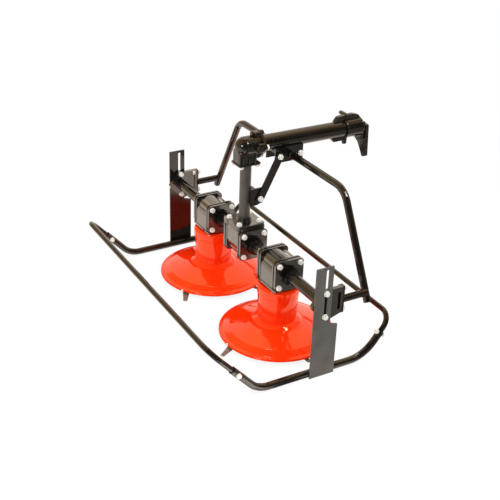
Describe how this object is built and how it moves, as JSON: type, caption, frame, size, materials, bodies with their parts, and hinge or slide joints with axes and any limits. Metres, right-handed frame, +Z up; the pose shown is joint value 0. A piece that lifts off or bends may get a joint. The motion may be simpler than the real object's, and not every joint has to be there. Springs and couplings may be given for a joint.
{
  "type": "two-drum rotary mower",
  "caption": "Rotary mower for a walk-behind tractor: shaft-driven drums with swinging knives between slotted skid plates, bent side rails and a pipe hoop.",
  "frame": {"origin": "on the ground, under the middle of the machine's length and width", "axes": "+X forward, away from the tractor; +Y to the machine's left; +Z up"},
  "size_m": [0.7558, 0.8948, 0.565],
  "materials": {
    "black_enamel": "glossy black enamel",
    "grey_paint": "satin dark grey paint",
    "red_enamel": "glossy red-orange enamel",
    "knife_steel": "oiled hardened steel"
  },
  "bodies": {
    "skid_frame": {"front_bar": "black_enamel", "rear_bar": "black_enamel", "left_skid_plate": "grey_paint", "right_skid_plate": "black_enamel", "left_side_rail": "black_enamel", "right_side_rail": "black_enamel"},
    "mower_unit": {"drive_tube": "black_enamel", "hitch_sleeve": "black_enamel", "hitch_tongue": "black_enamel", "elbow_gearbox": "black_enamel", "column": "black_enamel", "center_gearbox": "black_enamel", "left_gearbox": "black_enamel", "right_gearbox": "black_enamel", "left_shaft_housing": "black_enamel", "right_shaft_housing": "black_enamel", "left_side_tube": "black_enamel", "right_side_tube": "black_enamel", "hoop": "black_enamel", "saddle_bracket": "black_enamel", "strut_strap": "black_enamel", "column_lug": "black_enamel", "left_end_bracket": "black_enamel", "right_end_bracket": "black_enamel", "left_hoop_arm": "black_enamel", "right_hoop_arm": "black_enamel"},
    "left_rotor": {"left_drum": "red_enamel", "left_disc": "red_enamel"},
    "right_rotor": {"right_drum": "red_enamel", "right_disc": "red_enamel"},
    "left_knife_1": {"left_knife_1": "knife_steel"},
    "left_knife_2": {"left_knife_2": "knife_steel"},
    "right_knife_1": {"right_knife_1": "knife_steel"},
    "right_knife_2": {"right_knife_2": "knife_steel"}
  },
  "joints": [
    {"name": "height_adjustment", "type": "slide", "parent": "skid_frame", "child": "mower_unit", "axis": [0, 0, 1], "range_m": [0, 0.066]},
    {"name": "left_rotor_spin", "type": "hinge", "parent": "mower_unit", "child": "left_rotor", "pos_m": [0.029, 0.2, 0.1], "axis": [0, 0, 1], "continuous": true},
    {"name": "right_rotor_spin", "type": "hinge", "parent": "mower_unit", "child": "right_rotor", "pos_m": [0.029, -0.2, 0.1], "axis": [0, 0, 1], "continuous": true},
    {"name": "left_knife_1_swing", "type": "hinge", "parent": "left_rotor", "child": "left_knife_1", "pos_m": [0.18068, 0.20981, 0.006], "axis": [0, 0, 1], "continuous": true},
    {"name": "left_knife_2_swing", "type": "hinge", "parent": "left_rotor", "child": "left_knife_2", "pos_m": [-0.12268, 0.19019, 0.006], "axis": [0, 0, 1], "continuous": true},
    {"name": "right_knife_1_swing", "type": "hinge", "parent": "right_rotor", "child": "right_knife_1", "pos_m": [0.16258, -0.12747, 0.006], "axis": [0, 0, 1], "continuous": true},
    {"name": "right_knife_2_swing", "type": "hinge", "parent": "right_rotor", "child": "right_knife_2", "pos_m": [-0.10458, -0.27253, 0.006], "axis": [0, 0, 1], "continuous": true}
  ],
  "couplings": [
    {"joint": "right_rotor_spin", "follows": "left_rotor_spin", "ratio": -1}
  ]
}
